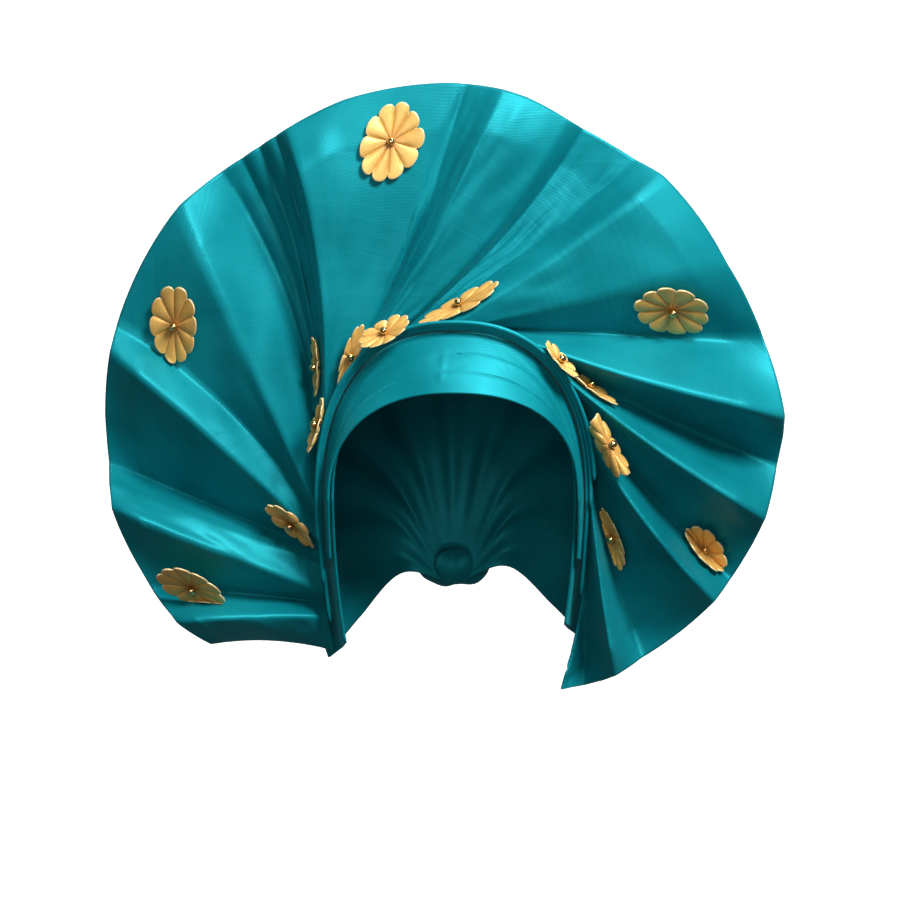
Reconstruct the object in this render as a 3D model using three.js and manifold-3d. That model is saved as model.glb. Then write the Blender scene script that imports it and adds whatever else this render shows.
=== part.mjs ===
// A tied head wrap of stiff shot cloth: a wide pleated fan stands round a wrapped forehead band,
// a gathered hood covers the head behind it, and gilt leather flowers with beads are sewn to the pleats.
// Millimetres. x runs across the head, y from the face to the nape, z up.
// The origin is the middle of the head opening, level with the band's lower edge over the forehead.
import * as THREE from "three";
import { mergeVertices } from "three/addons/utils/BufferGeometryUtils.js";
import loadManifold from "manifold-3d";

const manifold = await loadManifold();
manifold.setup();

// Cloth and seams
const clothWall = 1.6;
const bandWall = 1.8;
const seamGap = 0.4;

// The fan
const fanRadius = 181;
const fanCentre = { x: 0, z: -23 };
const fanRimDepth = -20;
const fanRimLean = 25;
const foldDepth = 40;
const rootShare = 0.32;
const rimShare = 0.42;
const foldPeak = 0.86;

// The face opening. The widest level of the face is the level of every ring's centre.
const faceHalfWidth = 64;
const faceRise = 54;
const faceDrop = 180;
const foreheadDepth = 76;
const templeDepth = 47;
const jawDepth = 14;
const ringSquareness = 2.35;

// The band, from its edge on the forehead to its edge at the fan
const bandHeight = 31;
const bandFlare = 2.5;
const bandDepth = 18;

// The fan's root stands outside the band, and its lower ends lie further back
const rootStandOff = 4;
const rootEndBack = 8;

// The hood: how much fuller it is than the fan's root, and how far back its widest ring and its end lie
const hoodFullness = 10;
const hoodWidestBack = 54;
const hoodLength = 71;
const gatherRadius = 10;
const gatherDrop = 38;

// The pleat lines of the fan, from its left end over the top to its right end.
// root: degrees round the face. rim: degrees round the fan. reach: share of fanRadius.
// lift: share of foldDepth towards the front. sag: how far the cloth sinks between the line and the
// next one, as a share of foldDepth. bow: how far the line bends towards the next one, as a share of fanRadius.
const folds = [
  { root: 232, rim: 220.1, reach: 0.923, lift: -0.3, sag: -0.06, bow: 0.02 },
  { root: 223.4, rim: 213.4, reach: 0.956, lift: 0.36, sag: -0.04, bow: 0.01 },
  { root: 219.4, rim: 206.5, reach: 0.976, lift: -0.42, sag: 0.02, bow: 0.005 },
  { root: 216.2, rim: 191.4, reach: 0.999, lift: 0.42, sag: 0, bow: 0 },
  { root: 207, rim: 187.5, reach: 0.999, lift: 0.06, sag: 0.02, bow: 0 },
  { root: 201.5, rim: 184, reach: 0.997, lift: -0.42, sag: 0.02, bow: 0 },
  { root: 199.5, rim: 175, reach: 1.004, lift: 0, sag: 0.03, bow: 0 },
  { root: 197.2, rim: 165.6, reach: 1.01, lift: 0.48, sag: -0.03, bow: 0.01 },
  { root: 190, rim: 161.5, reach: 1.018, lift: 0.02, sag: 0, bow: 0.05 },
  { root: 186, rim: 139.5, reach: 1.022, lift: 0.42, sag: 0, bow: 0 },
  { root: 178.3, rim: 131, reach: 1.012, lift: -0.36, sag: -0.04, bow: 0.08 },
  { root: 172.5, rim: 127, reach: 1.004, lift: -0.32, sag: -0.08, bow: 0.072 },
  { root: 168.5, rim: 123.5, reach: 1, lift: -0.16, sag: -0.08, bow: 0.062 },
  { root: 165, rim: 120.4, reach: 0.997, lift: 0.12, sag: -0.04, bow: 0.056 },
  { root: 161.8, rim: 118.2, reach: 0.996, lift: 0.42, sag: 0, bow: 0.052 },
  { root: 153, rim: 107.8, reach: 1.009, lift: 0.28, sag: 0.02, bow: 0.035 },
  { root: 145, rim: 90.8, reach: 1.009, lift: 0.14, sag: 0, bow: 0.03 },
  { root: 142.5, rim: 88, reach: 1.007, lift: 0.08, sag: 0, bow: 0.03 },
  { root: 137.5, rim: 84.6, reach: 1.002, lift: 0.2, sag: 0, bow: 0.02 },
  { root: 135, rim: 82, reach: 0.997, lift: 0.34, sag: 0, bow: 0.025 },
  { root: 131.5, rim: 78, reach: 0.988, lift: 0.3, sag: 0, bow: 0.03 },
  { root: 119.3, rim: 70.3, reach: 0.961, lift: 0.12, sag: -0.02, bow: 0.046 },
  { root: 116.5, rim: 67.5, reach: 0.957, lift: -0.2, sag: 0, bow: 0.044 },
  { root: 113.7, rim: 62, reach: 0.951, lift: -0.18, sag: 0, bow: 0.037 },
  { root: 110.5, rim: 57, reach: 0.948, lift: -0.1, sag: 0, bow: 0.03 },
  { root: 90.5, rim: 51.5, reach: 0.951, lift: 0.46, sag: 0, bow: 0.01 },
  { root: 86, rim: 33, reach: 0.922, lift: 0.34, sag: -0.04, bow: 0.01 },
  { root: 81.2, rim: 18, reach: 0.936, lift: -0.45, sag: 0.04, bow: 0 },
  { root: 69.8, rim: 4, reach: 0.946, lift: 0.5, sag: 0, bow: 0.02 },
  { root: 68, rim: 0.6, reach: 0.946, lift: 0, sag: 0.03, bow: 0.02 },
  { root: 63.5, rim: -4.4, reach: 0.937, lift: -0.45, sag: 0.03, bow: 0.02 },
  { root: 51.5, rim: -14.2, reach: 0.92, lift: 0.48, sag: 0, bow: 0.02 },
  { root: 49.5, rim: -18, reach: 0.916, lift: 0, sag: 0.03, bow: 0.02 },
  { root: 43, rim: -26.8, reach: 0.9, lift: -0.44, sag: 0, bow: 0.02 },
  { root: 34, rim: -31.7, reach: 0.882, lift: 0.46, sag: 0, bow: 0.03 },
  { root: 31.5, rim: -36, reach: 0.873, lift: 0.02, sag: 0.04, bow: 0.03 },
  { root: 18, rim: -49, reach: 0.84, lift: -0.42, sag: 0, bow: 0.02 },
  { root: 11.5, rim: -55.6, reach: 0.826, lift: 0.4, sag: 0, bow: 0.01 },
  { root: 7, rim: -58.4, reach: 0.822, lift: 0.05, sag: 0.03, bow: 0 },
  { root: -24, rim: -62, reach: 0.81, lift: -0.34, sag: 0.02, bow: 0 },
  { root: -47.5, rim: -66.8, reach: 0.79, lift: 0.05, sag: 0, bow: 0 },
];
const columnsPerFold = 2;
const fanRows = [0, 0.06, 0.14, 0.24, 0.36, 0.5, 0.64, 0.76, 0.86, 0.94, 1];

// The forehead band, and its two ends where it runs out along the temples
const bandEnds = { left: 206, right: -26 };
const bandColumns = 30;
const bandTaper = 0.16;
const bandEndRise = 0.45;

// The turns of cloth in the band. across: share of its height from the lower edge. out: how far it stands out.
const bandRows = [
  { across: 0, out: 0 },
  { across: 0.3, out: 0.9 },
  { across: 0.36, out: 0 },
  { across: 0.62, out: 0.9 },
  { across: 0.68, out: 0 },
  { across: 1, out: 0 },
];

// Rolled pleat edges that frame the band. towards: degrees from lying side by side to lying in front.
const rolls = [
  { name: "pleat_roll_inner", from: 226, to: -38, place: 0 },
  { name: "pleat_roll_middle", from: 214, to: -4, place: 1 },
  { name: "pleat_roll_outer", from: 198, to: 8, place: 2 },
];
const rollRadius = 1.1;
const rollGap = 0.7;
const rollStack = { left: 70, top: 60, right: 50 };
const rollSides = 6;
const rollSteps = 28;

// The hood's rings behind its widest one. width, rise and drop: shares of the widest ring's own.
// back: share of hoodLength. lower: share of gatherDrop.
const hoodRings = [
  { width: 1, rise: 1, drop: 0.83, back: 0, lower: 0 },
  { width: 0.8, rise: 0.78, drop: 0.6, back: 0.6, lower: 0 },
  { width: 0.42, rise: 0.38, drop: 0.31, back: 1, lower: 0.2 },
];
const hoodUnderBand = 0.5;
const hoodGap = 1.1;
const hoodColumns = 40;
const hoodRows = [0, 1, 2, 2.5, 3, 3.5, 4, 4.5, 5, 5.5, 6];
const hoodFolds = 9;
const hoodFoldDepth = 3.2;

// The knot that ties the gather
const knot = { halfWidth: 20, halfHeight: 13, halfDepth: 10, waist: 0.16 };
const knotSides = 14;
const knotRings = 8;

// Gilt leather flowers that bend with the cloth they are sewn to, each with a bead at its middle
const flowerRadius = 21.5;
const petalWall = 1.0;
const petalCount = 10;
const petalNotch = 0.17;
const petalDish = 1.6;
const petalInner = 0.5;
const seatStep = 0.2;
const mostSeatSteps = 60;
const beadRadius = 2.5;
const beadSides = 10;
const beadRings = 6;

// The ones on the fan. fold: which pleat line, counted from 0 at the left end, with a share towards
// the next one. along: share of the way from root to rim. size: share of flowerRadius. width: across
// the pleat, as a share of its length along the pleat. turn: degrees.
const fanFlowers = [
  { name: "top", fold: 15.5, along: 0.84, size: 1, width: 0.8, turn: 0 },
  { name: "upper_left", fold: 8.35, along: 0.8, size: 0.82, width: 1, turn: 20 },
  { name: "lower_left", fold: 2.3, along: 0.7, size: 0.84, width: 0.9, turn: 0 },
  { name: "upper_right", fold: 26.5, along: 0.72, size: 0.9, width: 0.85, turn: 10 },
  { name: "lower_right", fold: 33, along: 0.84, size: 0.8, width: 1, turn: 30 },
  { name: "pleat_left_low", fold: 6.5, along: 0.13, size: 0.8, width: 0.5, turn: 0 },
  { name: "pleat_left_high", fold: 12.5, along: 0.3, size: 0.75, width: 0.4, turn: 15 },
  { name: "pleat_top_left", fold: 15.6, along: 0.2, size: 0.85, width: 0.4, turn: 0 },
  { name: "pleat_top", fold: 24.6, along: 0.14, size: 1, width: 0.5, turn: 10 },
  { name: "pleat_right_high", fold: 30.62, along: 0.185, size: 0.8, width: 0.34, turn: 0 },
  { name: "pleat_right_mid", fold: 33.95, along: 0.18, size: 0.85, width: 0.45, turn: 20 },
  { name: "pleat_right_low", fold: 35.6, along: 0.45, size: 0.85, width: 0.45, turn: 0 },
];

// The ones on the rolls. angle: degrees round the face. lean: degrees that they face outwards.
const rollFlowers = [
  { name: "band_left", angle: 112, lean: 40, size: 0.72, width: 0.5, turn: 0 },
  { name: "band_right", angle: 54, lean: 55, size: 0.6, width: 0.4, turn: 0 },
  { name: "pleat_left_mid", angle: 150, lean: 72, size: 0.72, width: 0.4, turn: 0 },
];

const clothMaterial = new THREE.MeshStandardMaterial({ color: 0x0a8793, roughness: 0.42, metalness: 0.15 });
const leatherMaterial = new THREE.MeshStandardMaterial({ color: 0xd9a648, roughness: 0.45, metalness: 0.2 });
const beadMaterial = new THREE.MeshStandardMaterial({ color: 0xcf9f4a, roughness: 0.15, metalness: 1 });

// The rings round the face, each a rounded arch above its centre and a long drop below it
const faceRing = {
  x: 0, z: -faceRise, halfWidth: faceHalfWidth, rise: faceRise, drop: faceDrop,
  topDepth: -foreheadDepth, sideDepth: -templeDepth, endDepth: -jawDepth,
};
const bandRing = {
  ...faceRing,
  halfWidth: faceRing.halfWidth + bandFlare,
  rise: faceRing.rise + bandHeight,
  topDepth: faceRing.topDepth + bandDepth,
  sideDepth: faceRing.sideDepth + bandDepth,
  endDepth: faceRing.endDepth + bandDepth,
};
const rootRing = {
  ...bandRing,
  halfWidth: bandRing.halfWidth + rootStandOff,
  rise: bandRing.rise + rootStandOff,
  endDepth: bandRing.endDepth + rootEndBack,
};
const hoodBehind = hoodRings.map((ring) => ({
  x: 0,
  z: rootRing.z - ring.lower * gatherDrop,
  halfWidth: ring.width * (rootRing.halfWidth + hoodFullness),
  rise: ring.rise * (rootRing.rise + hoodFullness),
  drop: ring.drop * rootRing.drop,
  depth: rootRing.sideDepth + hoodWidestBack + ring.back * hoodLength,
}));
const gatherRing = {
  x: 0, z: rootRing.z - gatherDrop, halfWidth: gatherRadius, rise: gatherRadius, drop: gatherRadius,
  depth: hoodBehind.at(-1).depth,
};

const radians = THREE.MathUtils.degToRad;
const mix = THREE.MathUtils.lerp;
const ease = (t) => t * t * (3 - 2 * t);
const clamp01 = (t) => THREE.MathUtils.clamp(t, 0, 1);

// A point of a ring round the face, at an angle in degrees: 90 is over the forehead, 180 the left temple.
function ringPoint(ring, angle) {
  const across = Math.cos(radians(angle));
  const up = Math.sin(radians(angle));
  const height = up >= 0 ? ring.rise : ring.drop;
  const power = up >= 0 ? ringSquareness : 2;
  const reach = (Math.abs(across / ring.halfWidth) ** power + Math.abs(up / height) ** power) ** (-1 / power);
  const depth = ring.depth ?? (up >= 0
    ? mix(ring.sideDepth, ring.topDepth, up ** 1.5)
    : mix(ring.sideDepth, ring.endDepth, -up));
  return new THREE.Vector3(ring.x + reach * across, depth, ring.z + reach * up);
}

// The direction that leads out of a ring at an angle, square to its line and level with the face.
function ringOutward(ring, angle) {
  const step = ringPoint(ring, angle + 1).sub(ringPoint(ring, angle - 1));
  return new THREE.Vector3(step.z, 0, -step.x).normalize();
}

// The row of the fold table at a real-numbered place between two pleat lines.
function foldAt(place) {
  const index = Math.min(Math.floor(place), folds.length - 2);
  const share = place - index;
  const [before, after] = [folds[index], folds[index + 1]];
  const row = {};
  for (const key of ["root", "rim", "reach", "lift", "bow"]) row[key] = mix(before[key], after[key], share);
  row.lift -= before.sag * 4 * share * (1 - share);
  return row;
}

// How high the pleats stand along their length: shallow at the root, full near the rim, flatter at the hem.
function foldHeight(along) {
  if (along < foldPeak) return mix(rootShare, 1, Math.sin((Math.PI / 2) * (along / foldPeak)));
  return mix(1, rimShare, ease((along - foldPeak) / (1 - foldPeak)));
}

const highestLift = Math.max(...folds.map((fold) => fold.lift));
const deepestLift = Math.min(...folds.map((fold) => fold.lift));

// The middle surface of the fan's cloth.
function fanPoint(place, along) {
  const fold = foldAt(place);
  const root = ringPoint(rootRing, fold.root);
  const rimReach = fold.reach * fanRadius;
  const rim = new THREE.Vector3(
    fanCentre.x + rimReach * Math.cos(radians(fold.rim)),
    fanRimDepth - fanRimLean * Math.sin(radians(fold.rim)),
    fanCentre.z + rimReach * Math.sin(radians(fold.rim)),
  );
  const point = root.clone().lerp(rim, along);
  const sideways = new THREE.Vector3(rim.z - root.z, 0, root.x - rim.x).normalize();
  point.addScaledVector(sideways, fold.bow * fanRadius * 4 * along * (1 - along));
  const rootSetBack = highestLift * foldDepth * rootShare * (1 - along) ** 2;
  point.y += rootSetBack - fold.lift * foldDepth * foldHeight(along);
  return point;
}

// A closed body from vertices and faces.
function bodyFrom(points, faces, name, material) {
  const geometry = new THREE.BufferGeometry();
  geometry.setAttribute("position", new THREE.Float32BufferAttribute(points.flatMap((p) => [p.x, p.y, p.z]), 3));
  geometry.setIndex(faces.flat());
  geometry.computeVertexNormals();
  const mesh = new THREE.Mesh(geometry, material);
  mesh.name = name;
  return mesh;
}

// The two triangles of a four-cornered face.
const quad = (a, b, c, d) => [[a, b, c], [a, c, d]];

// Cloth of an even wall about a grid of points, grid[column][row], as one closed body.
// Its front side is the one that the columns, turned towards the rows, point away from.
function clothFrom(grid, wall, name, material) {
  const columns = grid.length;
  const rows = grid[0].length;
  const normalAt = (c, r) => {
    const alongColumns = grid[Math.min(c + 1, columns - 1)][r].clone().sub(grid[Math.max(c - 1, 0)][r]);
    const alongRows = grid[c][Math.min(r + 1, rows - 1)].clone().sub(grid[c][Math.max(r - 1, 0)]);
    return alongColumns.cross(alongRows).normalize();
  };
  const points = [];
  for (const side of [1, -1]) {
    for (let c = 0; c < columns; c++) {
      for (let r = 0; r < rows; r++) {
        points.push(grid[c][r].clone().addScaledVector(normalAt(c, r), (side * wall) / 2));
      }
    }
  }
  const front = (c, r) => c * rows + r;
  const back = (c, r) => columns * rows + c * rows + r;
  const faces = [];
  for (let c = 0; c < columns - 1; c++) {
    for (let r = 0; r < rows - 1; r++) {
      faces.push(...quad(front(c, r), front(c + 1, r), front(c + 1, r + 1), front(c, r + 1)));
      faces.push(...quad(back(c, r), back(c, r + 1), back(c + 1, r + 1), back(c + 1, r)));
    }
    faces.push(...quad(front(c, 0), back(c, 0), back(c + 1, 0), front(c + 1, 0)));
    const last = rows - 1;
    faces.push(...quad(front(c, last), front(c + 1, last), back(c + 1, last), back(c, last)));
  }
  for (let r = 0; r < rows - 1; r++) {
    faces.push(...quad(front(0, r), front(0, r + 1), back(0, r + 1), back(0, r)));
    const last = columns - 1;
    faces.push(...quad(front(last, r), back(last, r), back(last, r + 1), front(last, r + 1)));
  }
  return bodyFrom(points, faces, name, material);
}

// The pleated fan's grid of points
const fanGrid = [];
for (let c = 0; c <= (folds.length - 1) * columnsPerFold; c++) {
  fanGrid.push(fanRows.map((along) => fanPoint(c / columnsPerFold, along)));
}

// A point on the facets of that grid.
function facetPoint(place, along) {
  const column = THREE.MathUtils.clamp(place * columnsPerFold, 0, fanGrid.length - 1);
  const c = Math.min(Math.floor(column), fanGrid.length - 2);
  const r = Math.max(0, Math.min(fanRows.findLastIndex((row) => row <= along), fanRows.length - 2));
  const share = (along - fanRows[r]) / (fanRows[r + 1] - fanRows[r]);
  const before = fanGrid[c][r].clone().lerp(fanGrid[c][r + 1], share);
  const after = fanGrid[c + 1][r].clone().lerp(fanGrid[c + 1][r + 1], share);
  return before.lerp(after, column - c);
}

// The direction off the cloth's front at a place, evened out over its neighbourhood.
function offCloth(place, along) {
  const [across, down] = [0.3, 0.05];
  const acrossStep = facetPoint(place + across, along).sub(facetPoint(place - across, along));
  const alongStep = facetPoint(place, along + down).sub(facetPoint(place, along - down));
  return acrossStep.cross(alongStep).normalize();
}

// The place that lies a distance across the pleats from another, measured over the cloth.
function placeAcross(place, along, distance) {
  const stride = distance < 0 ? -1 / 12 : 1 / 12;
  let [here, left] = [place, Math.abs(distance)];
  while (here > 0 && here < folds.length - 1) {
    const step = facetPoint(here + stride, along).distanceTo(facetPoint(here, along));
    if (step >= left) return here + stride * (left / step);
    left -= step;
    here += stride;
  }
  return here;
}

// The middle surface of the band: share 0 is its lower edge over the forehead, 1 its edge at the rolls.
function bandPoint(angle, share) {
  const lower = ringPoint(faceRing, angle);
  const upper = ringPoint(bandRing, angle);
  return lower.lerp(upper, share);
}

// The direction straight off the band's outer face.
function offBand(angle) {
  const across = bandPoint(angle, 1).sub(bandPoint(angle, 0));
  const alongRing = ringPoint(bandRing, angle + 1).sub(ringPoint(bandRing, angle - 1));
  return across.cross(alongRing).normalize();
}

// The wrapped band over the forehead, with two turns of cloth that overlap like steps
function makeBand() {
  const grid = [];
  for (let c = 0; c <= bandColumns; c++) {
    const share = c / bandColumns;
    const angle = mix(bandEnds.left, bandEnds.right, share);
    const fromEnd = Math.min(share, 1 - share);
    const narrowing = 1 - ease(clamp01(fromEnd / bandTaper));
    const column = [];
    for (const row of bandRows) {
      const point = bandPoint(angle, mix(bandEndRise * narrowing, 1, row.across));
      column.push(point.addScaledVector(offBand(angle), row.out * (1 - narrowing)));
    }
    grid.push(column);
  }
  return clothFrom(grid, bandWall, "forehead_band", clothMaterial);
}

// The line of a rolled pleat edge, laid against the band's outer face and in front of the fan's root.
function rollPoint(roll, angle) {
  const point = ringPoint(bandRing, angle);
  const outward = ringOutward(bandRing, angle);
  const side = outward.x < 0 ? rollStack.left : rollStack.right;
  const stack = radians(mix(side, rollStack.top, ease(clamp01(outward.z))));
  const beside = bandWall / 2 + seamGap + rollRadius;
  const ahead = clothWall / 2 + seamGap + rollRadius;
  const spacing = roll.place * (2 * rollRadius + rollGap);
  point.addScaledVector(outward, beside + spacing * Math.cos(stack));
  point.y -= ahead + spacing * Math.sin(stack);
  return point;
}

// A rolled pleat edge as a closed tube
function makeRoll(roll) {
  const line = [];
  for (let i = 0; i <= rollSteps; i++) line.push(rollPoint(roll, mix(roll.from, roll.to, i / rollSteps)));
  const curve = new THREE.CatmullRomCurve3(line);
  const section = new THREE.Shape();
  for (let i = 0; i < rollSides; i++) {
    const turn = (2 * Math.PI * i) / rollSides;
    const [x, y] = [rollRadius * Math.cos(turn), rollRadius * Math.sin(turn)];
    if (i === 0) section.moveTo(x, y);
    else section.lineTo(x, y);
  }
  section.closePath();
  const geometry = new THREE.ExtrudeGeometry(section, { steps: rollSteps, extrudePath: curve });
  const mesh = new THREE.Mesh(geometry, clothMaterial);
  mesh.name = roll.name;
  return mesh;
}

// The hood's middle surface, from under the band to the gather at the nape.
function hoodPoint(angle, ring) {
  const underBand = (bandWall + clothWall) / 2 + hoodGap;
  const underFan = clothWall + hoodGap;
  const deepestRoot = (highestLift - deepestLift) * foldDepth * rootShare;
  const hem = bandPoint(angle, hoodUnderBand).addScaledVector(offBand(angle), -underBand);
  const bandEdge = ringPoint(bandRing, angle).addScaledVector(offBand(angle), -underBand);
  const fanBack = ringPoint(rootRing, angle).addScaledVector(ringOutward(rootRing, angle), -underFan);
  fanBack.y += deepestRoot + underFan;
  const line = [hem, bandEdge, fanBack, ...[...hoodBehind, gatherRing].map((behind) => ringPoint(behind, angle))];
  const curve = new THREE.CatmullRomCurve3(line, false, "centripetal");
  return curve.getPoint(ring / (line.length - 1));
}

// The hood over the head, with wrap folds that run into the gather
function makeHood() {
  const grid = [];
  const [fanBackRing, gather] = [2, hoodRows.at(-1)];
  const middle = new THREE.Vector3(hoodBehind[0].x, hoodBehind[0].depth, hoodBehind[0].z);
  for (let c = 0; c <= hoodColumns; c++) {
    const turn = c / hoodColumns;
    const angle = mix(folds[0].root, folds.at(-1).root, turn);
    const wave = 0.5 - 0.5 * Math.cos(2 * Math.PI * hoodFolds * turn);
    grid.push(hoodRows.map((ring) => {
      const point = hoodPoint(angle, ring);
      const fullness = ease(clamp01(ring - fanBackRing)) * ease(clamp01((gather - ring) / 1.5));
      const outward = point.clone().sub(middle).normalize();
      return point.addScaledVector(outward, hoodFoldDepth * wave * fullness);
    }));
  }
  return clothFrom(grid, clothWall, "hood", clothMaterial);
}

// The plain knot over the gather: a rounded roll with a shallow waist
function makeKnot() {
  const geometry = new THREE.SphereGeometry(1, knotSides, knotRings);
  geometry.rotateZ(Math.PI / 2);
  const position = geometry.getAttribute("position");
  for (let i = 0; i < position.count; i++) {
    const across = position.getX(i);
    const narrow = 1 - knot.waist * (1 - Math.abs(across)) ** 2;
    position.setXYZ(
      i,
      across * knot.halfWidth,
      position.getY(i) * knot.halfDepth * narrow,
      position.getZ(i) * knot.halfHeight * narrow,
    );
  }
  geometry.computeVertexNormals();
  const mesh = new THREE.Mesh(geometry, clothMaterial);
  mesh.name = "nape_knot";
  const edgeShare = gatherRadius / knot.halfWidth;
  const sunk = knot.halfDepth * Math.sqrt(1 - edgeShare ** 2);
  mesh.position.set(gatherRing.x, gatherRing.depth + clothWall / 2 + seamGap + sunk, gatherRing.z);
  return mesh;
}

// A flower's middle surface on the fan: turn is round its bead, share is from its middle to its edge.
function fanPetalPoint(flower, turn, share) {
  const radius = flowerRadius * flower.size * share;
  const pleatLength = facetPoint(flower.fold, 1).distanceTo(facetPoint(flower.fold, 0));
  const along = flower.along + (radius * Math.cos(turn)) / pleatLength;
  const place = placeAcross(flower.fold, along, radius * flower.width * Math.sin(turn));
  const way = offCloth(place, along);
  const off = (clothWall + petalWall) / 2 + seamGap + petalDish * share ** 2;
  return { at: facetPoint(place, along).addScaledVector(way, off), way };
}

// The same for a flower on the rolls, where it stays flat and stands in front of them.
function rollPetalPoint(flower, turn, share) {
  const radius = flowerRadius * flower.size * share;
  const outward = ringOutward(bandRing, flower.angle);
  const front = new THREE.Vector3(0, -1, 0);
  const x = outward.clone().cross(front);
  const way = front.applyAxisAngle(x, -radians(flower.lean));
  const y = x.clone().cross(way);
  const at = rollPoint(rolls.at(-1), flower.angle).addScaledVector(way, rollRadius + petalWall + seamGap);
  at.addScaledVector(x, radius * Math.cos(turn)).addScaledVector(y, radius * flower.width * Math.sin(turn));
  return { at: at.addScaledVector(way, petalDish * share ** 2), way };
}

// A scalloped flower over one of those surfaces
function makeFlower(flower, petalPoint, wall) {
  const middle = [petalPoint(flower, 0, 0)];
  for (let i = 0; i < petalCount; i++) {
    middle.push(petalPoint(flower, radians(flower.turn) + (2 * Math.PI * i) / petalCount, petalInner));
  }
  const outline = petalCount * 3;
  for (let i = 0; i < outline; i++) {
    const share = i % 3 === 0 ? 1 - petalNotch : 1;
    middle.push(petalPoint(flower, radians(flower.turn) + (2 * Math.PI * i) / outline, share));
  }
  const offset = (side) => middle.map((p) => p.at.clone().addScaledVector(p.way, (side * wall) / 2));
  const points = [...offset(1), ...offset(-1)];
  const faces = [];
  const under = middle.length;
  const inner = (i) => 1 + (i % petalCount);
  const outer = (i) => 1 + petalCount + (i % outline);
  const addBothSides = (a, b, c) => faces.push([a, c, b], [under + a, under + b, under + c]);
  for (let i = 0; i < petalCount; i++) {
    addBothSides(0, inner(i), inner(i + 1));
    addBothSides(inner(i), outer(3 * i), outer(3 * i + 1));
    addBothSides(inner(i), outer(3 * i + 1), inner(i + 1));
    addBothSides(inner(i + 1), outer(3 * i + 1), outer(3 * i + 2));
    addBothSides(inner(i + 1), outer(3 * i + 2), outer(3 * i + 3));
  }
  for (let i = 0; i < outline; i++) {
    faces.push(...quad(outer(i), outer(i + 1), under + outer(i + 1), under + outer(i)));
  }
  return bodyFrom(points, faces, `flower_${flower.name}`, leatherMaterial);
}

// A mesh as a solid that gaps can be measured from.
function solidOf(mesh) {
  const bare = new THREE.BufferGeometry();
  bare.setAttribute("position", mesh.geometry.getAttribute("position"));
  bare.setIndex(mesh.geometry.index);
  const { attributes, index } = mergeVertices(bare);
  const shape = { numProp: 3, vertProperties: attributes.position.array, triVerts: new Uint32Array(index.array) };
  return new manifold.Manifold(new manifold.Mesh(shape));
}

// Moves a mesh along a direction, a step at a time, until the room it needs is free of every solid.
function seat(mesh, roomMesh, way, solids) {
  const room = solidOf(roomMesh);
  const shift = new THREE.Vector3();
  const isClear = () => {
    const moved = room.translate(shift.toArray());
    return solids.every((solid) => solid.intersect(moved).isEmpty());
  };
  for (let step = 0; step < mostSeatSteps && !isClear(); step++) shift.addScaledVector(way, seatStep);
  mesh.geometry.translate(shift.x, shift.y, shift.z);
  return solidOf(mesh);
}

// A bead over the middle of a flower's petals
function makeBead(flower, petals, way, radius) {
  const geometry = new THREE.SphereGeometry(radius, beadSides, beadRings);
  const middle = new THREE.Vector3().fromBufferAttribute(petals.geometry.getAttribute("position"), 0);
  middle.addScaledVector(way, beadRadius);
  geometry.translate(middle.x, middle.y, middle.z);
  const mesh = new THREE.Mesh(geometry, beadMaterial);
  mesh.name = `bead_${flower.name}`;
  return mesh;
}

// The whole head wrap
const headWrap = new THREE.Group();
const fan = clothFrom(fanGrid, clothWall, "fan", clothMaterial);
headWrap.add(fan, makeBand(), ...rolls.map(makeRoll));
const seated = headWrap.children.map(solidOf);
headWrap.add(makeHood(), makeKnot());
for (const [flowers, petalPoint] of [[fanFlowers, fanPetalPoint], [rollFlowers, rollPetalPoint]]) {
  for (const flower of flowers) {
    const { way } = petalPoint(flower, 0, 0);
    const outOfPleat = new THREE.Vector3(0, -1, 0).add(way).normalize();
    const petals = makeFlower(flower, petalPoint, petalWall);
    const widened = { ...flower, size: flower.size + seamGap / flowerRadius };
    const petalRoom = makeFlower(widened, petalPoint, petalWall + 2 * seamGap);
    seated.push(seat(petals, petalRoom, outOfPleat, seated));
    const bead = makeBead(flower, petals, way, beadRadius);
    const beadRoom = makeBead(flower, petals, way, beadRadius + seamGap);
    seated.push(seat(bead, beadRoom, outOfPleat, seated));
    headWrap.add(petals, bead);
  }
}

export default headWrap;
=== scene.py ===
import bpy
import math
import numpy as np
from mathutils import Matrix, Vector
from mathutils.bvhtree import BVHTree


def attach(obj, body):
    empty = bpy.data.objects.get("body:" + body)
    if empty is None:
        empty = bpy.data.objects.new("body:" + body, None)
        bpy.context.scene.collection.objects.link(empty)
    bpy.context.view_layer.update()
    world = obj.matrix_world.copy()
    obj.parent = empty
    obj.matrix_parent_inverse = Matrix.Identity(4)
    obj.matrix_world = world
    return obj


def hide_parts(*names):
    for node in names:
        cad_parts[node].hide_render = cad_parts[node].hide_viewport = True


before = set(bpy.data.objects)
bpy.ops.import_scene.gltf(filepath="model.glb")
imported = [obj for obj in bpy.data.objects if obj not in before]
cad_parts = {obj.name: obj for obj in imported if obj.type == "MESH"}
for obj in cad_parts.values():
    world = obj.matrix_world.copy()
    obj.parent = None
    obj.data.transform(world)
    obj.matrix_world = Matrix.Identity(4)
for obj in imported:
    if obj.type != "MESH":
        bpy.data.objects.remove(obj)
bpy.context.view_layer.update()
print("frame: loaded", len(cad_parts), "nodes")

mm = 0.001
seed = 41


# Shared helpers: everything is in millimetres until a mesh is made

def mix(a, b, t):
    return a + (b - a) * t


def ease(t):
    t = np.clip(t, 0, 1)
    return t * t * (3 - 2 * t)


def unit(v):
    return v / np.maximum(np.linalg.norm(v, axis=-1, keepdims=True), 1e-9)


def vec(x, y, z):
    return np.stack(np.broadcast_arrays(x, y, z), -1).astype(float)


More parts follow.
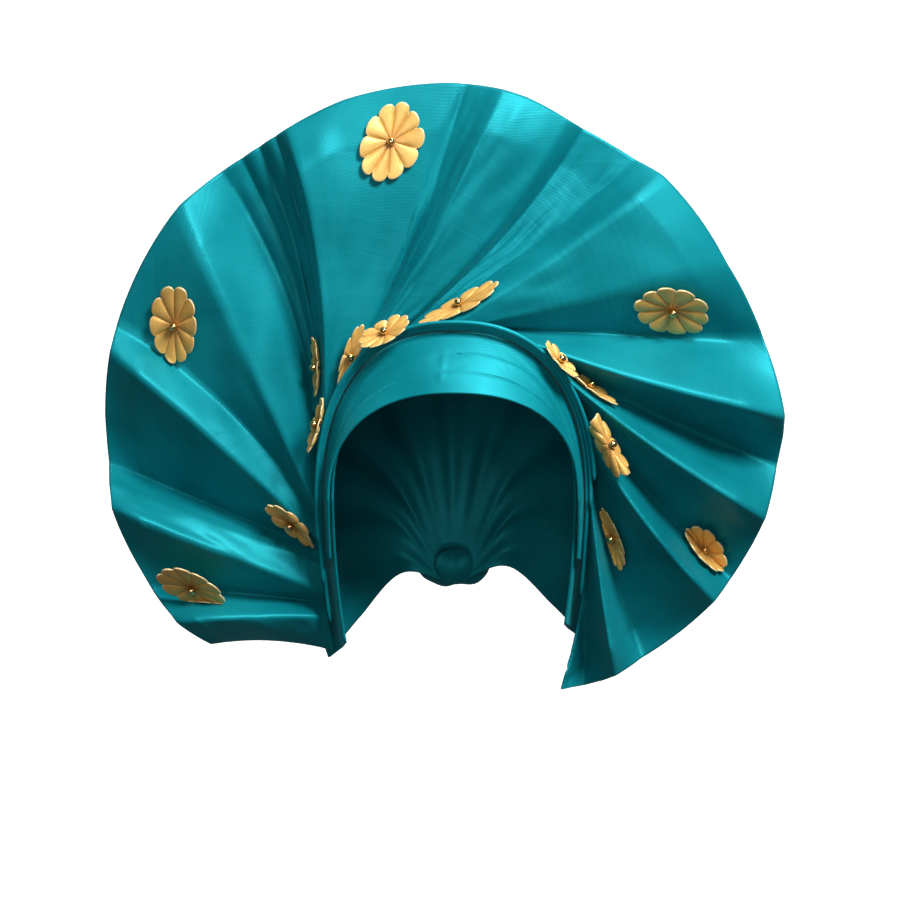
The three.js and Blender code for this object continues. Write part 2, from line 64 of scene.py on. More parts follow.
# soft wandering waves: a few sines with seeded directions, from about -1 to 1
def ripple(a, b, pitchA, pitchB, number, waves=6):
    rng = np.random.default_rng(seed + number)
    total = np.zeros(np.broadcast(a, b).shape)
    for _ in range(waves):
        turnA, turnB = rng.uniform(0.5, 1.6, 2) * rng.choice([-1, 1], 2)
        total = total + np.sin(2 * np.pi * (a * turnA / pitchA + b * turnB / pitchB) + rng.uniform(0, 6.3))
    return total / waves ** 0.5 / 1.2


# the four-cornered faces between the points of a grid; a closed one joins its last column to its first
def gridFaces(columns, rows, closed):
    column = np.arange(columns if closed else columns - 1)[:, None]
    row = np.arange(rows - 1)[None, :]
    here, beside = column * rows + row, ((column + 1) % columns) * rows + row
    return np.stack([here, beside, beside + 1, here + 1], -1).reshape(-1, 4).tolist()


# a grid of points (columns, rows, 3) as a mesh, with its own lengths as the weave's coordinates
def sheetMesh(name, grid, closed=False, lengths=None):
    columns, rows = grid.shape[:2]
    mesh = bpy.data.meshes.new(name)
    mesh.from_pydata((grid.reshape(-1, 3) * mm).tolist(), [], gridFaces(columns, rows, closed))
    if lengths is None:
        across = np.linalg.norm(np.diff(grid, axis=0), axis=-1).cumsum(0)
        across = np.vstack([np.zeros((1, rows)), across])
        along = np.linalg.norm(np.diff(grid, axis=1), axis=-1).cumsum(1)
        along = np.hstack([np.zeros((columns, 1)), along])
        lengths = np.stack([across, along], -1)
    weave = mesh.uv_layers.new(name="weave")
    corner = np.zeros(len(mesh.loops), int)
    mesh.loops.foreach_get("vertex_index", corner)
    weave.data.foreach_set("uv", (lengths.reshape(-1, 2)[corner] * mm).ravel())
    mesh.shade_smooth()
    piece = bpy.data.objects.new(name, mesh)
    bpy.context.scene.collection.objects.link(piece)
    return piece


# gives a sheet its wall, half to each side
def thicken(piece, wall):
    solid = piece.modifiers.new("wall", "SOLIDIFY")
    solid.thickness = wall * mm
    solid.offset = 0
    solid.use_even_offset = False
    solid.use_quality_normals = True


# a grid's surface, for finding what lies near it
def treeOf(grid, closed=False):
    columns, rows = grid.shape[:2]
    return BVHTree.FromPolygons(grid.reshape(-1, 3).tolist(), gridFaces(columns, rows, closed))


# every piece rides with the wrap and stands for its solid
def settle(piece, slot, *nodes):
    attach(piece, "root")
    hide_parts(*nodes)


# Materials

def nodeTree(name):
    material = bpy.data.materials.new(name)
    material.use_nodes = True
    nodes = material.node_tree.nodes
    nodes.clear()
    output = nodes.new("ShaderNodeOutputMaterial")
    shader = nodes.new("ShaderNodeBsdfPrincipled")
    material.node_tree.links.new(shader.outputs[0], output.inputs[0])
    return material, nodes, material.node_tree.links, shader


def addNode(nodes, kind, **settings):
    node = nodes.new(kind)
    for key, value in settings.items():
        if key in node.inputs:
            node.inputs[key].default_value = value
        else:
            setattr(node, key, value)
    return node


def rampNode(nodes, stops):
    ramp = nodes.new("ShaderNodeValToRGB")
    elements = ramp.color_ramp.elements
    while len(elements) < len(stops):
        elements.new(0.5)
    for element, (place, colour) in zip(elements, stops):
        element.position = place
        element.color = (*colour, 1)
    return ramp


def mixColour(a, b, t):
    return tuple(mix(p, q, t) for p, q in zip(a, b))


# a noise pattern laid out over the piece itself or over its weave
def noiseNode(nodes, links, source, **settings):
    noise = addNode(nodes, "ShaderNodeTexNoise", **settings)
    links.new(source, noise.inputs["Vector"])
    return noise


# one colour pattern darkened by another
def multiplyNode(nodes, links, share, colour, shade):
    product = addNode(nodes, "ShaderNodeMix", data_type="RGBA", blend_type="MULTIPLY")
    product.inputs["Factor"].default_value = share
    links.new(colour, product.inputs["A"])
    links.new(shade, product.inputs["B"])
    return product


# roughness between two values, from a pattern
def roughFrom(nodes, links, pattern, shader, lowHigh):
    rough = addNode(nodes, "ShaderNodeMapRange")
    rough.inputs["To Min"].default_value, rough.inputs["To Max"].default_value = lowHigh
    links.new(pattern, rough.inputs["Value"])
    links.new(rough.outputs["Result"], shader.inputs["Roughness"])


clothLook = {
    "deep": (0.000, 0.145, 0.178),
    "middle": (0.002, 0.205, 0.245),
    "bright": (0.006, 0.262, 0.305),
    "toneScale": 16.0,                # slow shifts from deep to bright
    "yarnStretch": (220.0, 2600.0, 1.0),
    "yarnShare": 0.22,
    "handledScale": 38.0,             # where handling has changed the gloss
    "rough": (0.44, 0.56),
    "ribPitch": 0.0009,               # metres from one crosswise rib to the next
    "ribDepth": 0.00004,
    "creaseStretch": (70.0, 20.0, 1.0),
    "crinkle": 0.0004,                # height of the fine creases
    "metallic": 0.2,
    "specular": 0.55, "specularTint": (0.15, 0.92, 0.98, 1),
    "sheen": 0.3, "sheenRough": 0.35, "sheenTint": (0.05, 0.75, 0.82, 1),
}


def clothMaterial(name, lift=0.0):
    material, nodes, links, shader = nodeTree(name)
    look = clothLook
    weave = addNode(nodes, "ShaderNodeUVMap", uv_map="weave").outputs["UV"]
    place = nodes.new("ShaderNodeTexCoord").outputs["Object"]
    # slow shifts of tone, as shot cloth has
    tone = noiseNode(nodes, links, place, Scale=look["toneScale"], Detail=3.0, Roughness=0.5)
    # lift brightens or darkens every tone of this copy of the cloth: painted light when above 0, painted
    # shade when below 0
    scale = 1 + lift
    ramp = rampNode(nodes, [(p, tuple(min(1, c * scale) for c in look[key]))
                            for p, key in ((0.3, "deep"), (0.5, "middle"), (0.72, "bright"))])
    links.new(tone.outputs["Fac"], ramp.inputs["Fac"])
    # single yarns run along and across, slightly lighter or darker
    yarnMap = addNode(nodes, "ShaderNodeMapping", Scale=look["yarnStretch"])
    links.new(weave, yarnMap.inputs["Vector"])
    yarn = noiseNode(nodes, links, yarnMap.outputs["Vector"], Scale=1.0, Detail=1.0)
    yarnTone = rampNode(nodes, [(0.3, (0.72, 0.72, 0.72)), (0.7, (1.0, 1.0, 1.0))])
    links.new(yarn.outputs["Fac"], yarnTone.inputs["Fac"])
    slub = multiplyNode(nodes, links, look["yarnShare"], ramp.outputs["Color"], yarnTone.outputs["Color"])
    links.new(slub.outputs["Result"], shader.inputs["Base Color"])
    # gloss varies where the cloth was handled
    handled = noiseNode(nodes, links, place, Scale=look["handledScale"], Detail=4.0)
    roughFrom(nodes, links, handled.outputs["Fac"], shader, look["rough"])
    # crosswise ribs, then fine creases stretched along the pleats
    ribs = addNode(nodes, "ShaderNodeTexWave", wave_type="BANDS", bands_direction="Y",
                   Scale=1 / look["ribPitch"] / 6.283, Distortion=0.6, Detail=1.0)
    ribs.inputs["Detail Scale"].default_value = 0.2
    links.new(weave, ribs.inputs["Vector"])
    ribBump = addNode(nodes, "ShaderNodeBump", Strength=0.5, Distance=look["ribDepth"])
    links.new(ribs.outputs["Fac"], ribBump.inputs["Height"])
    creaseMap = addNode(nodes, "ShaderNodeMapping", Scale=look["creaseStretch"])
    links.new(weave, creaseMap.inputs["Vector"])
    creases = noiseNode(nodes, links, creaseMap.outputs["Vector"], Scale=1.0, Detail=4.0, Roughness=0.45,
                        Distortion=0.6)
    creaseBump = addNode(nodes, "ShaderNodeBump", Strength=0.6, Distance=look["crinkle"])
    links.new(creases.outputs["Fac"], creaseBump.inputs["Height"])
    links.new(ribBump.outputs["Normal"], creaseBump.inputs["Normal"])
    links.new(creaseBump.outputs["Normal"], shader.inputs["Normal"])
    shader.inputs["Metallic"].default_value = look["metallic"]
    shader.inputs["Specular IOR Level"].default_value = look["specular"]
    shader.inputs["Specular Tint"].default_value = look["specularTint"]
    shader.inputs["Sheen Weight"].default_value = look["sheen"]
    shader.inputs["Sheen Roughness"].default_value = look["sheenRough"]
    shader.inputs["Sheen Tint"].default_value = look["sheenTint"]
    return material


leatherLook = {
    "shadeInHollow": (0.42, 0.17, 0.035),
    "petal": (0.78, 0.46, 0.115),
    "edge": (0.93, 0.70, 0.36),
    "spotScale": 140.0, "spotShare": 0.7,
    "rough": (0.34, 0.55),
    "grainScale": 1400.0, "grain": 0.00012,
    "metallic": 0.25, "specular": 0.6,
}


def leatherMaterial(name):
    material, nodes, links, shader = nodeTree(name)
    look = leatherLook
    weave = addNode(nodes, "ShaderNodeUVMap", uv_map="weave")
    place = nodes.new("ShaderNodeTexCoord").outputs["Object"]
    # the weave's second coordinate runs from the bead, 0, to the petals' tips, 1
    split = nodes.new("ShaderNodeSeparateXYZ")
    links.new(weave.outputs["UV"], split.inputs["Vector"])
    # darker towards the bead: painted shade in the flower's dished hollow, turning to the petals' own colour
    # further out
    shadeNearBead = mixColour(look["shadeInHollow"], look["petal"], 0.7)
    outward = rampNode(nodes, [(0.0, look["shadeInHollow"]), (0.35, shadeNearBead), (0.62, look["petal"]),
                               (0.955, look["petal"]), (0.985, look["edge"])])
    links.new(split.outputs["Y"], outward.inputs["Fac"])
    spots = noiseNode(nodes, links, place, Scale=look["spotScale"], Detail=5.0, Roughness=0.6)
    spotTone = rampNode(nodes, [(0.35, (0.80, 0.76, 0.70)), (0.62, (1, 1, 1))])
    links.new(spots.outputs["Fac"], spotTone.inputs["Fac"])
    tone = multiplyNode(nodes, links, look["spotShare"], outward.outputs["Color"], spotTone.outputs["Color"])
    links.new(tone.outputs["Result"], shader.inputs["Base Color"])
    roughFrom(nodes, links, spots.outputs["Fac"], shader, look["rough"])
    grain = addNode(nodes, "ShaderNodeTexVoronoi", Scale=look["grainScale"], feature="SMOOTH_F1")
    links.new(place, grain.inputs["Vector"])
    bump = addNode(nodes, "ShaderNodeBump", Strength=0.5, Distance=look["grain"])
    links.new(grain.outputs["Distance"], bump.inputs["Height"])
    links.new(bump.outputs["Normal"], shader.inputs["Normal"])
    shader.inputs["Metallic"].default_value = look["metallic"]
    shader.inputs["Specular IOR Level"].default_value = look["specular"]
    return material


goldLook = {
    "deep": (0.62, 0.40, 0.14), "bright": (0.86, 0.62, 0.28),
    "markScale": 600.0, "rough": (0.10, 0.24),
}


def goldMaterial(name):
    material, nodes, links, shader = nodeTree(name)
    place = nodes.new("ShaderNodeTexCoord").outputs["Object"]
    marks = noiseNode(nodes, links, place, Scale=goldLook["markScale"], Detail=3.0)
    tone = rampNode(nodes, [(0.3, goldLook["deep"]), (0.7, goldLook["bright"])])
    links.new(marks.outputs["Fac"], tone.inputs["Fac"])
    links.new(tone.outputs["Color"], shader.inputs["Base Color"])
    roughFrom(nodes, links, marks.outputs["Fac"], shader, goldLook["rough"])
    shader.inputs["Metallic"].default_value = 1.0
    return material


fanCloth = clothMaterial("fan_cloth")
# the band and rolls take a lighter copy of the one cloth, painted light; the hood and knot take a darker
# copy, painted shade
bandClothPaintedLight = clothMaterial("band_cloth_painted_light", 0.12)
hoodClothPaintedShade = clothMaterial("hood_cloth_painted_shade", -0.1)
giltLeather = leatherMaterial("gilt_leather")
beadGold = goldMaterial("bead_gold")
print("materials: made")


# The rings round the opening, as in the solids

opening = {
    "halfWidth": 64, "rise": 54, "drop": 180,
    "topAhead": 76, "sideAhead": 47, "endAhead": 14, "squareness": 2.35,
    "bandHeight": 31, "bandFlare": 2.5, "bandDepth": 18,
    "rootStandOff": 4, "rootEndBack": 8,
}

openingRing = dict(x=0, z=-opening["rise"], halfWidth=opening["halfWidth"], rise=opening["rise"],
                   drop=opening["drop"], topDepth=-opening["topAhead"], sideDepth=-opening["sideAhead"],
                   endDepth=-opening["endAhead"])
bandRing = dict(openingRing, halfWidth=openingRing["halfWidth"] + opening["bandFlare"],
                rise=openingRing["rise"] + opening["bandHeight"],
                topDepth=openingRing["topDepth"] + opening["bandDepth"],
                sideDepth=openingRing["sideDepth"] + opening["bandDepth"],
                endDepth=openingRing["endDepth"] + opening["bandDepth"])
rootRing = dict(bandRing, halfWidth=bandRing["halfWidth"] + opening["rootStandOff"],
                rise=bandRing["rise"] + opening["rootStandOff"],
                endDepth=bandRing["endDepth"] + opening["rootEndBack"])


# a point of a ring: 90 degrees is its top, 180 its left side
def ringPoint(ring, angle):
    across, up = np.cos(np.radians(angle)), np.sin(np.radians(angle))
    above = up >= 0
    height = np.where(above, ring["rise"], ring["drop"])
    power = np.where(above, opening["squareness"], 2.0)
    reach = (np.abs(across / ring["halfWidth"]) ** power + np.abs(up / height) ** power) ** (-1 / power)
    if "depth" in ring:
        depth = np.full_like(reach, ring["depth"])
    else:
        depth = np.where(above, mix(ring["sideDepth"], ring["topDepth"], np.abs(up) ** 1.5),
                         mix(ring["sideDepth"], ring["endDepth"], np.abs(up)))
    return vec(ring["x"] + reach * across, depth, ring["z"] + reach * up)


# straight out of a ring, square to its line
def ringOutward(ring, angle):
    step = ringPoint(ring, angle + 1) - ringPoint(ring, angle - 1)
    return unit(vec(step[..., 2], 0, -step[..., 0]))


# The pleated fan

fanShape = {
    "radius": 181, "centreZ": -23, "rimDepth": -20, "rimLean": 25, "foldDepth": 40,
    "rootShare": 0.32, "rimShare": 0.56, "peak": 0.86, "riseTurn": 1.25, "fallPower": 1.2,
    "columns": 10, "rows": 108, "wall": 1.2, "round": 0.05,
    "flutter": 0.5,     # soft unevenness of the pleat faces
}

# the solids' own pleat lines: root and rim in degrees, reach as a share of the radius, lift as a share of
# the fold's depth, how far the cloth sinks before the next line, how far the line bends towards it
foldTable = np.array([
    (232, 220.1, 0.923, -0.30, -0.06, 0.020), (223.4, 213.4, 0.956, 0.36, -0.04, 0.010),
    (219.4, 206.5, 0.976, -0.42, 0.02, 0.005), (216.2, 191.4, 0.999, 0.42, 0.00, 0.000),
    (207, 187.5, 0.999, 0.06, 0.02, 0.000), (201.5, 184.0, 0.997, -0.42, 0.02, 0.000),
    (199.5, 175.0, 1.004, 0.00, 0.03, 0.000), (197.2, 165.6, 1.010, 0.48, -0.03, 0.010),
    (190, 161.5, 1.018, 0.02, 0.00, 0.050), (186, 139.5, 1.022, 0.42, 0.00, 0.000),
    (178.3, 131.0, 1.012, -0.36, -0.04, 0.080), (172.5, 127.0, 1.004, -0.32, -0.08, 0.072),
    (168.5, 123.5, 1.000, -0.16, -0.08, 0.062), (165, 120.4, 0.997, 0.12, -0.04, 0.056),
    (161.8, 118.2, 0.996, 0.42, 0.00, 0.052), (153, 107.8, 1.009, 0.28, 0.02, 0.035),
    (145, 90.8, 1.009, 0.14, 0.00, 0.030), (142.5, 88.0, 1.007, 0.08, 0.00, 0.030),
    (137.5, 84.6, 1.002, 0.20, 0.00, 0.020), (135, 82.0, 0.997, 0.34, 0.00, 0.025),
    (131.5, 78.0, 0.988, 0.30, 0.00, 0.030), (119.3, 70.3, 0.961, 0.12, -0.02, 0.046),
    (116.5, 67.5, 0.957, -0.20, 0.00, 0.044), (113.7, 62.0, 0.951, -0.18, 0.00, 0.037),
    (110.5, 57.0, 0.948, -0.10, 0.00, 0.030), (90.5, 51.5, 0.951, 0.46, 0.00, 0.010),
    (86, 33.0, 0.922, 0.34, -0.04, 0.010), (81.2, 18.0, 0.936, -0.45, 0.04, 0.000),
    (69.8, 4.0, 0.946, 0.50, 0.00, 0.020), (68.0, 0.6, 0.946, 0.00, 0.03, 0.020),
    (63.5, -4.4, 0.937, -0.45, 0.03, 0.020), (51.5, -14.2, 0.920, 0.48, 0.00, 0.020),
    (49.5, -18.0, 0.916, 0.00, 0.03, 0.020), (43, -26.8, 0.900, -0.44, 0.00, 0.020),
    (34, -31.7, 0.882, 0.46, 0.00, 0.030), (31.5, -36.0, 0.873, 0.02, 0.04, 0.030),
    (18, -49.0, 0.840, -0.42, 0.00, 0.020), (11.5, -55.6, 0.826, 0.40, 0.00, 0.010),
    (7, -58.4, 0.822, 0.05, 0.03, 0.000), (-24, -62.0, 0.810, -0.34, 0.02, 0.000),
    (-47.5, -66.8, 0.790, 0.05, 0.00, 0.000),
])
lastFold = len(foldTable) - 1


# the table's values at a place between two lines
def foldAt(place):
    place = np.clip(place, 0, lastFold)
    index = np.minimum(np.floor(place).astype(int), lastFold - 1)
    share = place - index
    before, after = foldTable[index], foldTable[index + 1]
    root, rim, reach, lift, bow = (mix(before[..., k], after[..., k], share) for k in (0, 1, 2, 3, 5))
    return root, rim, reach, lift - before[..., 4] * 4 * share * (1 - share), bow


# a pleat's height along its length: low at the root, full at the peak, flatter at the hem
def foldHeight(along):
    peak, turned = fanShape["peak"], fanShape["riseTurn"]
    rising = mix(fanShape["rootShare"], 1, np.sin(turned * np.minimum(along / peak, 1)) / math.sin(turned))
    beyond = np.clip((along - peak) / (1 - peak), 0, 1) ** fanShape["fallPower"]
    falling = mix(1, fanShape["rimShare"], beyond)
    return np.where(along < peak, rising, falling)


# the fan without its unevenness
def plainFan(place, along):
    root, rim, reach, lift, bow = foldAt(place)
    radius = reach * fanShape["radius"]
    foot = ringPoint(rootRing, root)
    across, up = np.cos(np.radians(rim)), np.sin(np.radians(rim))
    tip = vec(radius * across, fanShape["rimDepth"] - fanShape["rimLean"] * up,
              fanShape["centreZ"] + radius * up)
    along = np.asarray(along, float)
    point = mix(foot, tip, along[..., None])
    sideways = unit(vec(tip[..., 2] - foot[..., 2], 0, foot[..., 0] - tip[..., 0]))
    point = point + sideways * (bow * fanShape["radius"] * 4 * along * (1 - along))[..., None]
    highest = foldTable[:, 3].max()
    setBack = highest * fanShape["foldDepth"] * fanShape["rootShare"] * (1 - along) ** 2
    point[..., 1] += setBack - lift * fanShape["foldDepth"] * foldHeight(along)
    return point


# pressed lines and dents on the pleat faces: place, spread, from, to, height in mm
rng = np.random.default_rng(seed)
pressed = []
for gap in range(lastFold):
    for _ in range(2):
        start = rng.uniform(0.08, 0.5)
        pressed.append((gap + rng.uniform(0.2, 0.8), rng.uniform(0.03, 0.08), start,
                        start + rng.uniform(0.25, 0.6), rng.uniform(-0.9, 0.9)))


# the fan's middle surface, with rounded crests and the small unevenness of real cloth
def fanPoint(place, along):
    place, along = np.broadcast_arrays(np.asarray(place, float), np.asarray(along, float))
    blur = fanShape["round"]
    point = sum(w * plainFan(place + d * blur, along) for d, w in ((-1, 0.25), (0, 0.5), (1, 0.25)))
    calm = ease(along / 0.2) * ease((1.02 - along) / 0.12)
    push = fanShape["flutter"] * ripple(place, along, 2.1, 0.55, 1) * calm
    push = push + 0.5 * fanShape["flutter"] * ripple(place, along, 0.8, 0.3, 2) * calm
    for middle, spread, start, stop, height in pressed:
        line = np.exp(-np.abs((place - middle - 0.15 * (along - start)) / spread) ** 1.3)
        push = push + height * line * ease((along - start) / 0.12) * ease((stop - along) / 0.2)
    point = point.copy()
    point[..., 1] -= push
    return point


fanPlaces = np.linspace(0, lastFold, lastFold * fanShape["columns"] + 1)
fanAlongs = np.linspace(0, 1, fanShape["rows"])
fanGrid = fanPoint(fanPlaces[:, None], fanAlongs[None, :])
fanPiece = sheetMesh("pleated_fan", fanGrid)
thicken(fanPiece, fanShape["wall"])
fanPiece.data.materials.append(fanCloth)
settle(fanPiece, "cloth", "fan")
fanTree = treeOf(fanGrid)
print("fan: done", fanGrid.shape)


# The wrapped band

bandShape = {
    "left": 206, "right": -26, "columns": 260, "rows": 64, "wall": 1.3, "taper": 0.16, "endRise": 0.45,
    # turns of cloth that overlap like steps: share of the height, mm outwards
    "turns": ((0, 0), (0.3, 0.4), (0.36, 0), (0.62, 0.4), (0.68, 0), (1, 0)),
    "wrinkle": 0.35,
    # pressed creases: from angle and share to angle and share, height in mm
    "creases": ((72, 0.92, 20, 0.42, 0.55), (63, 0.62, 14, 0.20, 0.45), (46, 0.95, 12, 0.66, 0.5),
                (101, 0.60, 82, 0.65, -0.4), (99, 0.38, 84, 0.42, -0.35), (97, 0.10, 93, 0.80, 0.3),
                (112, 0.85, 166, 0.35, 0.4), (124, 0.35, 176, 0.12, 0.35)),
    "creaseSpread": 1.7,
}


def bandPoint(angle, share):
    lower, upper = ringPoint(openingRing, angle), ringPoint(bandRing, angle)
    return mix(lower, upper, np.asarray(share)[..., None])


# straight off the band's outer side
def offBand(angle):
    across = bandPoint(angle, np.ones_like(angle)) - bandPoint(angle, np.zeros_like(angle))
    alongRing = ringPoint(bandRing, angle + 1) - ringPoint(bandRing, angle - 1)
    return unit(np.cross(across, alongRing))


# the height of the pressed creases at an angle and a share of the band
def bandCreases(angle, share):
    perDegree, high = math.radians(bandRing["halfWidth"]), opening["bandHeight"]
    total = 0
    for angleA, shareA, angleB, shareB, height in bandShape["creases"]:
        run, climb = (angleB - angleA) * perDegree, (shareB - shareA) * high
        across, up = (angle - angleA) * perDegree, (share - shareA) * high
        length = math.hypot(run, climb)
        along = (across * run + up * climb) / length ** 2
        off = (across * climb - up * run) / length
        crease = np.exp(-(off / bandShape["creaseSpread"]) ** 2)
        total = total + height * crease * ease(along / 0.3) * ease((1 - along) / 0.3)
    return total


turnAcross, turnOut = np.array(bandShape["turns"], float).T
besideTurns = [0.31, 0.33, 0.35, 0.63, 0.65, 0.67]      # more rows where one turn ends on the next
bandAcross = np.sort(np.concatenate([np.linspace(0, 1, bandShape["rows"]), besideTurns]))
share = np.linspace(0, 1, bandShape["columns"])[:, None]
bandAngle = mix(bandShape["left"], bandShape["right"], share)
narrowing = 1 - ease(np.minimum(share, 1 - share) / bandShape["taper"])
bandShare = mix(bandShape["endRise"] * narrowing, 1, bandAcross[None, :])
wrinkle = bandShape["wrinkle"] * ripple(share * 6, bandAcross[None, :], 2.6, 0.8, 5)
calm = ease((1 - bandAcross) / 0.1)      # the band lies still at its upper edge
stepOut = np.interp(bandAcross, turnAcross, turnOut)[None, :] * (1 - narrowing) + wrinkle * calm * 0.8
fullAngle = np.broadcast_to(bandAngle, bandShare.shape)
stepOut = stepOut + bandCreases(fullAngle, bandShare) * calm
bandGrid = bandPoint(fullAngle, bandShare) + offBand(fullAngle) * stepOut[..., None]
bandPiece = sheetMesh("wrapped_band", bandGrid)
thicken(bandPiece, bandShape["wall"])
bandPiece.data.materials.append(bandClothPaintedLight)
settle(bandPiece, "cloth", "forehead_band")
print("band: done")


# Rolled pleat edges round the band

rollShape = {
    "radius": 1.1, "gap": 0.7, "stack": {"left": 70, "top": 60, "right": 50}, "sides": 14, "steps": 240,
    "bandWall": 1.8, "fanWall": 1.6, "seam": 0.4,      # the solids' walls, and the gap between pieces
    "flat": 0.86, "twist": 5.0, "uneven": 0.06, "endShare": 0.012,
    # name, first and last angle, order
    "rolls": (("pleat_roll_inner", 226, -38, 0), ("pleat_roll_middle", 214, -4, 1),
              ("pleat_roll_outer", 198, 8, 2)),
}


# the middle line of a roll, against the band's outer side and in front of the fan's root
def rollPoint(order, angle):
    angle = np.asarray(angle, float)
    point, outward = ringPoint(bandRing, angle), ringOutward(bandRing, angle)
    side = np.where(outward[..., 0] < 0, rollShape["stack"]["left"], rollShape["stack"]["right"])
    stack = np.radians(mix(side, rollShape["stack"]["top"], ease(outward[..., 2])))
    beside = rollShape["bandWall"] / 2 + rollShape["seam"] + rollShape["radius"]
    ahead = rollShape["fanWall"] / 2 + rollShape["seam"] + rollShape["radius"]
    spacing = order * (2 * rollShape["radius"] + rollShape["gap"])
    point = point + outward * (beside + spacing * np.cos(stack))[..., None]
    point[..., 1] -= ahead + spacing * np.sin(stack)
    return point


# a flattened tube about a line, twisted as it runs
def tubeGrid(line, radius, sides, flat, twist):
    along = unit(np.gradient(line, axis=0))
    front = np.array([0.0, -1.0, 0.0])
    side = unit(np.cross(along, front))
    up = np.cross(side, along)
    turn = np.linspace(0, 2 * np.pi, sides, endpoint=False)
    lead = np.linspace(0, twist, len(line))[:, None]
    ringA, ringB = np.cos(turn[None, :]), np.sin(turn[None, :]) * flat
    a = ringA * np.cos(lead) - ringB * np.sin(lead)
    b = ringA * np.sin(lead) + ringB * np.cos(lead)
    around = side[:, None, :] * a[..., None] + up[:, None, :] * b[..., None]
    return line[:, None, :] + radius[:, None, None] * around


rollPieces, rollGrids = [], []
t = np.linspace(0, 1, rollShape["steps"])
for name, start, stop, order in rollShape["rolls"]:
    line = rollPoint(order, mix(start, stop, t))
    ends = np.sqrt(np.clip(np.minimum(t, 1 - t) / rollShape["endShare"], 0.02, 1))
    lumps = 1 + rollShape["uneven"] * ripple(t * 10, 0 * t, 2.3, 1, 20 + order)
    radius = rollShape["radius"] * ends * lumps
    grid = tubeGrid(line, radius, rollShape["sides"], rollShape["flat"], rollShape["twist"])
    grid = np.transpose(grid, (1, 0, 2))
    piece = sheetMesh(name + "_cloth", grid, closed=True)
    piece.data.materials.append(bandClothPaintedLight)
    settle(piece, "cloth", name)
    rollPieces.append(piece)
    rollGrids.append(grid)
print("rolls: done")


# The gathered hood

hoodShape = {
    "fullness": 10, "widestBack": 54, "length": 71, "gatherRadius": 10, "gatherDrop": 38,
    # width, rise and drop as shares, how far back, how far down
    "rings": ((1, 1, 0.83, 0, 0), (0.8, 0.78, 0.6, 0.6, 0), (0.42, 0.38, 0.31, 1, 0.2)),
    "underBand": 0.5, "gap": 1.1, "columns": 280, "rows": 110, "wall": 1.3,
    "folds": 9, "foldDepth": 3.2, "foldPower": 1.3, "uneven": 0.7,
}

hoodRings = [dict(x=0, z=rootRing["z"] - lower * hoodShape["gatherDrop"],
                  halfWidth=width * (rootRing["halfWidth"] + hoodShape["fullness"]),
                  rise=rise * (rootRing["rise"] + hoodShape["fullness"]), drop=drop * rootRing["drop"],
                  depth=rootRing["sideDepth"] + hoodShape["widestBack"] + back * hoodShape["length"])
             for width, rise, drop, back, lower in hoodShape["rings"]]
gatherRing = dict(x=0, z=rootRing["z"] - hoodShape["gatherDrop"], halfWidth=hoodShape["gatherRadius"],
                  rise=hoodShape["gatherRadius"], drop=hoodShape["gatherRadius"],
                  depth=hoodRings[-1]["depth"])


# a centripetal Catmull-Rom path through points (columns, points, 3), at steps counted in points
def smoothPath(points, steps):
    first = 2 * points[:, :1] - points[:, 1:2]
    last = 2 * points[:, -1:] - points[:, -2:-1]
    p = np.concatenate([first, points, last], 1)
    rows = []
    for step in steps:
        k = min(int(step), points.shape[1] - 2)
        w = step - k
        q = [p[:, k + i] for i in range(4)]
        d = [np.maximum(np.linalg.norm(q[i + 1] - q[i], axis=-1, keepdims=True) ** 0.5, 1e-4)
             for i in range(3)]
        leave = ((q[1] - q[0]) / d[0] - (q[2] - q[0]) / (d[0] + d[1]) + (q[2] - q[1]) / d[1]) * d[1]
        arrive = ((q[2] - q[1]) / d[1] - (q[3] - q[1]) / (d[1] + d[2]) + (q[3] - q[2]) / d[2]) * d[1]
        rows.append((2 * w**3 - 3 * w**2 + 1) * q[1] + (w**3 - 2 * w**2 + w) * leave
                    + (-2 * w**3 + 3 * w**2) * q[2] + (w**3 - w**2) * arrive)
    return np.stack(rows, 1)


turn = np.linspace(0, 1, hoodShape["columns"])
hoodAngle = mix(foldTable[0, 0], foldTable[-1, 0], turn)
underBand = (rollShape["bandWall"] + rollShape["fanWall"]) / 2 + hoodShape["gap"]
underFan = rollShape["fanWall"] + hoodShape["gap"]
liftSpan = foldTable[:, 3].max() - foldTable[:, 3].min()
deepestRoot = liftSpan * fanShape["foldDepth"] * fanShape["rootShare"]
hem = bandPoint(hoodAngle, np.full_like(hoodAngle, hoodShape["underBand"])) - offBand(hoodAngle) * underBand
bandEdge = ringPoint(bandRing, hoodAngle) - offBand(hoodAngle) * underBand
fanBack = ringPoint(rootRing, hoodAngle) - ringOutward(rootRing, hoodAngle) * underFan
fanBack[:, 1] += deepestRoot + underFan
stations = np.stack([hem, bandEdge, fanBack] + [ringPoint(r, hoodAngle) for r in hoodRings + [gatherRing]], 1)
lastStation = stations.shape[1] - 1
hoodSteps = np.linspace(0, lastStation, hoodShape["rows"])
hoodGrid = smoothPath(stations, hoodSteps)
middle = np.array([0, hoodRings[0]["depth"], hoodRings[0]["z"]])
fullness = ease(hoodSteps - 2) * ease((lastStation - hoodSteps) / 1.5)
wave = np.abs(0.5 - 0.5 * np.cos(2 * np.pi * hoodShape["folds"] * turn)) ** hoodShape["foldPower"]
small = hoodShape["uneven"] * ripple(turn[:, None] * 20, hoodSteps[None, :], 3.0, 4.0, 30)
push = (hoodShape["foldDepth"] * wave[:, None] + small) * fullness[None, :]
hoodGrid = hoodGrid + unit(hoodGrid - middle) * push[..., None]
hoodPiece = sheetMesh("gathered_hood", hoodGrid)
thicken(hoodPiece, hoodShape["wall"])
hoodPiece.data.materials.append(hoodClothPaintedShade)
settle(hoodPiece, "cloth", "hood")
print("hood: done")


# The tied knot

knotShape = {
    "halfWidth": 20, "halfHeight": 13, "halfDepth": 10, "waist": 0.16, "sides": 120, "rings": 72,
    "crease": 0.7, "seatGap": 1.2,
}

